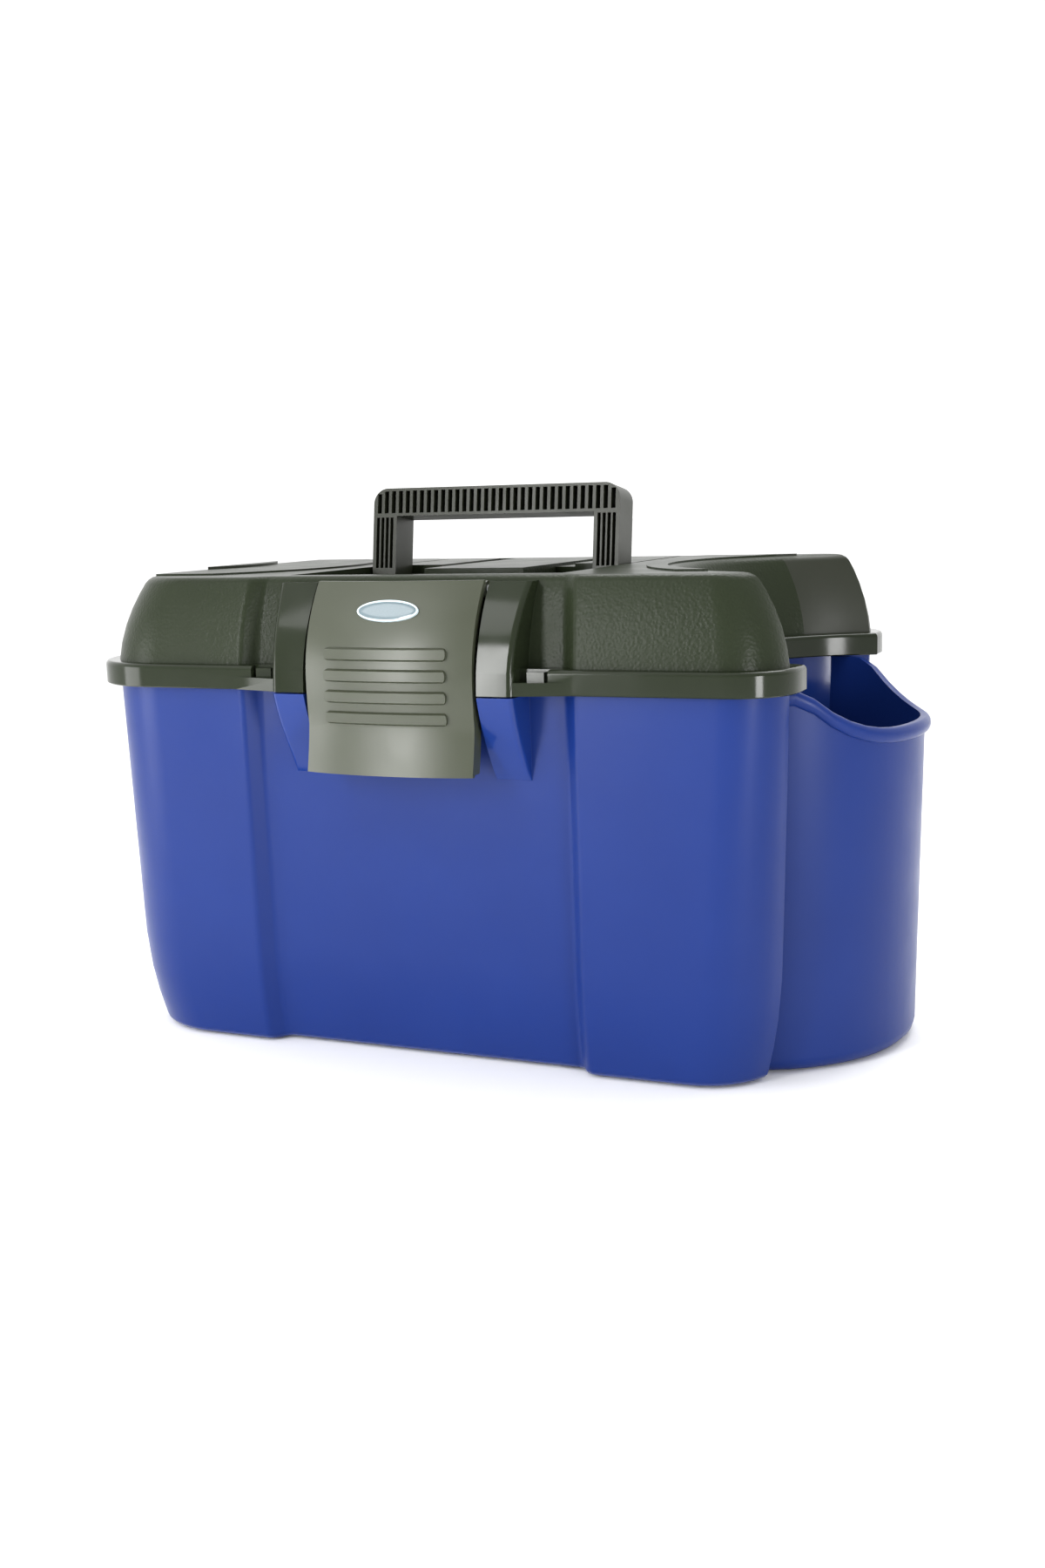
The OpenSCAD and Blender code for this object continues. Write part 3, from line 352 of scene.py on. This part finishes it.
# %% [markdown]
# ## Tub and pocket
# The tub's outside is satin with a fine grain. The two guards beside the latch are polished, because the
# mould has to slide there, and so is the inside. A face lies inside if it looks towards the middle of the
# box. The box is longer than it is wide, so an oval of its half length and half width tells which way that
# is. The limits of the zones are in millimetres, in the frame of the model.

# %% Which faces look into the box
half_length, half_width = 194, 126


def faces_in(place, normal):
    """True where a face looks to the middle of the box, or down."""
    outward = place.x * normal.x / half_length ** 2 + place.y * normal.y / half_width ** 2
    return outward < -0.001 or normal.z < -0.5


# %% Tub and pocket
guard_inner, guard_outer = 47, 70
guard_front, guard_foot = -119.5, 152


def tub_zone(place, normal):
    """1 on the polished guards and the inside, 0 on the satin outside."""
    guard = guard_inner < abs(place.x) < guard_outer and place.y < guard_front and place.z > guard_foot
    return 1 if guard or faces_in(place, normal) else 0


finish_moulding("tub", "tub_moulding", "tub_body", 0.6, (tub_satin, tub_glossy), tub_zone,
                joined="tub_floor")
finish_moulding("pocket", "pocket_moulding", "tub_body", 0.4, (tub_satin,))

# %% [markdown]
# ## Lid
# The lid's walls and top carry a coarse leather grain, which hides scratches. The rim, the two pillars
# beside the latch and the handle's well are polished, and the inside is satin. The front wall leans back as
# it rises, so the line between wall and pillar leans with it.

# %% Lid
rim_foot, rim_top = 205, 211.3
wall_foot, wall_foot_y, wall_lean = 211, 121.5, 0.193
pillar_inner, pillar_outer = 47, 73
well_side, well_front, well_rear, well_top = 79, -63, 16, 255.5


def lid_zone(place, normal):
    """1 on the polished rim, pillars and well, 2 on the satin inside, 0 on the grained walls and top."""
    rim = place.z < rim_top
    wall_front = wall_foot_y - (place.z - wall_foot) * wall_lean
    pillar = pillar_inner < abs(place.x) < pillar_outer and place.y < -wall_front
    well = (abs(place.x) < well_side and well_front < place.y < well_rear
            and place.z < well_top and normal.z > -0.5)
    inside = faces_in(place, normal) and place.z > rim_foot
    return 1 if rim or pillar or well else 2 if inside else 0


finish_moulding("lid", "lid_moulding", "lid_body", 0.6, (lid_grained, lid_polished_painted_shade, lid_inner),
                lid_zone)

# %% [markdown]
# ## Latch, handle and tray
# These are satin all over, so that they are pleasant to hold.

# %% Latch, handle and tray
finish_moulding("latch", "latch_moulding", "latch_body", 0.5, (latch_satin,))
finish_moulding("handle", "handle_moulding", "handle_body", 0.4, (handle_satin,))
finish_moulding("tray", "tray_moulding", "tray_body", 0.2, (tray_satin,))

# %% [markdown]
# ## The badge
# The oval badge is a thin plate with a bright rim and a clear domed face. It is bare here. A circle is
# pulled to an oval and extruded to its thickness, and its face is then extruded again and again, each time
# smaller: first the rim, then a groove, then the dome. An inset would be the usual tool, but it keeps one
# distance all round, and in a long oval it folds over at the ends. Place and slope come from the CAD solid.

# %% Measuring the badge's seat
badge_l, badge_h, badge_t = 34 * MM, 11.7 * MM, 1.6 * MM
badge_faces = sorted(solids["latch_badge"].data.polygons, key=lambda f: f.area)
badge_out = next(f.normal.copy() for f in reversed(badge_faces)
                 if f.normal.y < 0 and abs(f.normal.x) < 0.01)
badge_low, badge_high = (Vector(v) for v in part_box("latch_badge"))
badge_mid = (badge_low + badge_high) / 2
print("badge faces", [round(v, 3) for v in badge_out], "at", [round(v, 4) for v in badge_mid])

# %% Materials of the badge
# the rim is moulded acrylic: pale and glossy, with faint marks of wear
rim_wear_mm = 3
badge_rim, rim_tree, rim_shader = new_material("acrylic_badge_rim", {"IOR": PLASTIC_IOR, "Roughness": 0.18})
rim_place = add(rim_tree, "ShaderNodeTexCoord").outputs["Object"]
rim_wear = add(rim_tree, "ShaderNodeTexNoise", {
    "Vector": rim_place, "Scale": 1 / (rim_wear_mm * MM), "Detail": 3.0})
rim_tint = add(rim_tree, "ShaderNodeMix", {
    "Factor": rim_wear.outputs["Fac"], COLOUR_A: linear("#c3d2d6"), COLOUR_B: linear("#b3c4c9")},
    data_type="RGBA")
rim_tree.links.new(rim_tint.outputs[COLOUR_OUT], rim_shader.inputs["Base Color"])

# the face is printed film under a clear drop of resin: the coat mirrors the lamps over a grey-blue ground
face_print_mm = 0.8
badge_face, face_tree, face_shader = new_material(
    "domed_badge_print", {"Roughness": 0.35, "Coat Weight": 1.0, "Coat Roughness": 0.06})
face_place = add(face_tree, "ShaderNodeTexCoord").outputs["Object"]
face_print = add(face_tree, "ShaderNodeTexNoise", {
    "Vector": face_place, "Scale": 1 / (face_print_mm * MM), "Detail": 2.0})
face_tint = add(face_tree, "ShaderNodeMix", {
    "Factor": face_print.outputs["Fac"], COLOUR_A: linear("#55676e"), COLOUR_B: linear("#5f7279")},
    data_type="RGBA")
face_tree.links.new(face_tint.outputs[COLOUR_OUT], face_shader.inputs["Base Color"])
print("badge materials:", badge_rim.name, badge_face.name)

# %% Modelling the badge
# each step goes in and up by so many millimetres; rim, groove and dome add 0.25 mm to the plate
plate_t = badge_t - 0.25 * MM
rim_steps = ((0.2, 0.2), (0.7, 0))
groove_step = ((0.15, -0.25),)
dome_steps = ((0.7, 0.14), (0.9, 0.09), (1.0, 0.05), (1.0, 0.02))

bpy.ops.object.select_all(action="DESELECT")
bpy.ops.mesh.primitive_circle_add(vertices=72, radius=1, fill_type="NGON", location=(0, 0, 0))
badge_piece = bpy.context.object
badge_piece.name = "badge_plate"
half_l, half_h = badge_l / 2, badge_h / 2
badge_piece.scale = (half_l, half_h, 1)
bpy.ops.object.transform_apply(location=True, rotation=True, scale=True)
bpy.ops.object.mode_set(mode="EDIT")
bpy.ops.mesh.select_all(action="SELECT")
bpy.ops.mesh.normals_make_consistent(inside=False)
bpy.ops.mesh.extrude_region_move(TRANSFORM_OT_translate={"value": (0, 0, plate_t)})
for inward, lift in rim_steps + groove_step + dome_steps:
    bpy.ops.mesh.extrude_region_move(TRANSFORM_OT_translate={"value": (0, 0, lift * MM)})
    bpy.ops.transform.resize(value=(1 - inward * MM / half_l, 1 - inward * MM / half_h, 1))
    half_l, half_h = half_l - inward * MM, half_h - inward * MM
bpy.ops.mesh.select_all(action="SELECT")
bpy.ops.mesh.normals_make_consistent(inside=False)
bpy.ops.object.mode_set(mode="OBJECT")
bpy.ops.object.shade_smooth_by_angle(angle=smooth_angle)
print("badge", len(badge_piece.data.polygons), "faces")

# %% Rim and face of the badge
rim_width = 1.0 * MM
badge_piece.data.materials.append(badge_rim)
badge_piece.data.materials.append(badge_face)
inner_l, inner_h = badge_l / 2 - rim_width, badge_h / 2 - rim_width
for face in badge_piece.data.polygons:
    inside = (face.center.x / inner_l) ** 2 + (face.center.y / inner_h) ** 2 < 1
    face.material_index = 1 if inside and face.center.z > badge_t / 2 else 0

# %% Setting the badge in the latch
across = Vector((1, 0, 0))
upward = badge_out.cross(across)
badge_back = badge_mid - badge_out * badge_t / 2
badge_piece.matrix_world = Matrix((
    (across.x, upward.x, badge_out.x, badge_back.x),
    (across.y, upward.y, badge_out.y, badge_back.y),
    (across.z, upward.z, badge_out.z, badge_back.z),
    (0, 0, 0, 1)))
alone(badge_piece)
bpy.ops.object.transform_apply(location=True, rotation=True, scale=True)
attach(badge_piece, "latch_body")
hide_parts("latch_badge")
print("badge set at", [round(v, 4) for v in badge_back])

# %% [markdown]
# ## The steel pins
# Lid, latch and handle turn on pieces of drawn steel wire. A drawn pin is bright, with fine lines along it,
# and its ends are chamfered so that it can be pressed in. Each pin is a cylinder of its own length, and the
# edges round its ends are bevelled.

# %% Drawn steel
# the lines of the drawing die break the mirror up into streaks along the pin
line_length_mm, line_gap_mm = 20, 0.3
steel, steel_tree, steel_shader = new_material(
    "drawn_steel", {"Base Color": linear("#c4c6c9"), "Metallic": 1.0})
steel_place = add(steel_tree, "ShaderNodeTexCoord").outputs["Object"]
along = add(steel_tree, "ShaderNodeMapping", {
    "Vector": steel_place,
    "Scale": (1 / (line_length_mm * MM), 1 / (line_gap_mm * MM), 1 / (line_gap_mm * MM))})
lines = add(steel_tree, "ShaderNodeTexNoise", {
    "Vector": along.outputs["Vector"], "Scale": 1.0, "Detail": 2.0})
streaks = add(steel_tree, "ShaderNodeMapRange", {
    "Value": lines.outputs["Fac"], "From Min": 0.3, "From Max": 0.7, "To Min": 0.22, "To Max": 0.4})
steel_tree.links.new(streaks.outputs["Result"], steel_shader.inputs["Roughness"])
print("steel:", steel.name)

# %% Modelling the pins
pins = (("hinge_pin_left", "tub_body"), ("hinge_pin_right", "tub_body"), ("latch_pin", "lid_body"),
        ("handle_pin_left", "lid_body"), ("handle_pin_right", "lid_body"))
chamfer = 0.35 * MM
level_within = 0.1 * MM

for node, body in pins:
    low, high = (Vector(v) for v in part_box(node))
    length, radius = high.x - low.x, (high.z - low.z) / 2
    bpy.ops.object.select_all(action="DESELECT")
    bpy.ops.mesh.primitive_cylinder_add(vertices=48, radius=radius, depth=length, location=(low + high) / 2,
                                        rotation=(0, math.pi / 2, 0))
    pin = bpy.context.object
    pin.name = node.replace("_pin", "_wire")
    bpy.ops.object.transform_apply(location=True, rotation=True, scale=True)
    bpy.ops.object.mode_set(mode="EDIT")
    bpy.ops.mesh.select_mode(type="EDGE")
    bpy.ops.mesh.select_all(action="DESELECT")
    bpy.ops.object.mode_set(mode="OBJECT")
    # the edges round an end have both their ends at one X
    for edge in pin.data.edges:
        ends = [pin.data.vertices[v].co.x for v in edge.vertices]
        edge.select = abs(ends[0] - ends[1]) < level_within
    bpy.ops.object.mode_set(mode="EDIT")
    bpy.ops.mesh.bevel(offset=chamfer, segments=2, affect="EDGES")
    bpy.ops.object.mode_set(mode="OBJECT")
    bpy.ops.object.shade_smooth_by_angle(angle=smooth_angle)
    pin.data.materials.append(steel)
    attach(pin, body)
    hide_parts(node)
    print(pin.name, round(length / MM, 1), "mm long")

# %% [markdown]
# Blender adds looks and no size. The CAD box and the dressed box are written out, to be compared.

low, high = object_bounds()
dressed, solid = list(high) + list(low), list(cad_high) + list(cad_low)
print("grown by", [round((a - b) / MM, 2) for a, b in zip(dressed, solid)], "mm")
